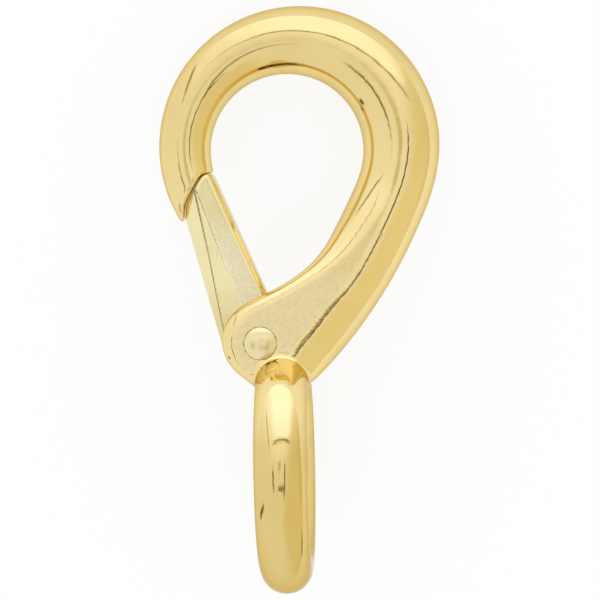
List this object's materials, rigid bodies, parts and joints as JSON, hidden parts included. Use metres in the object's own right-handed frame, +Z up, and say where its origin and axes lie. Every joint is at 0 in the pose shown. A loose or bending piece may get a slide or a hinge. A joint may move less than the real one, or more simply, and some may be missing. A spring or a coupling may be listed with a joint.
{
  "type": "boat snap",
  "caption": "Cast hook with a spring gate that swings inward and a fixed eye at right angles, for clipping rope or webbing to a ring.",
  "frame": {"origin": "on the floor under the centre of the snap's bounding box, as it lies at rest on the eye and the bow of the hook", "axes": "+Z up; +Y along the snap, from the eye towards the bow of the hook; +X to the right, towards the hook's solid back; the hook's front face looks up"},
  "size_m": [0.038, 0.0782, 0.0331],
  "materials": {
    "hook_gold": "bright polished gold plate over cast brass",
    "gate_gold": "bright polished gold plate with faint lapping marks",
    "rivet_gold": "bright plated, peened head",
    "spring_steel": "bright drawn stainless spring wire"
  },
  "bodies": {
    "hook": {"hook_body": "hook_gold", "rivet": "rivet_gold", "gate_spring": "spring_steel"},
    "gate": {"gate": "gate_gold"}
  },
  "joints": [
    {"name": "gate_hinge", "type": "hinge", "parent": "hook", "child": "gate", "pos_m": [-0.00536, -0.00548, 0.01318], "axis": [-0.034, -0.1999, -0.9792], "range_deg": [0, 40], "stiffness_Nm_per_rad": 0.12, "springref_deg": -45.84, "deforming": ["gate_spring"]}
  ]
}
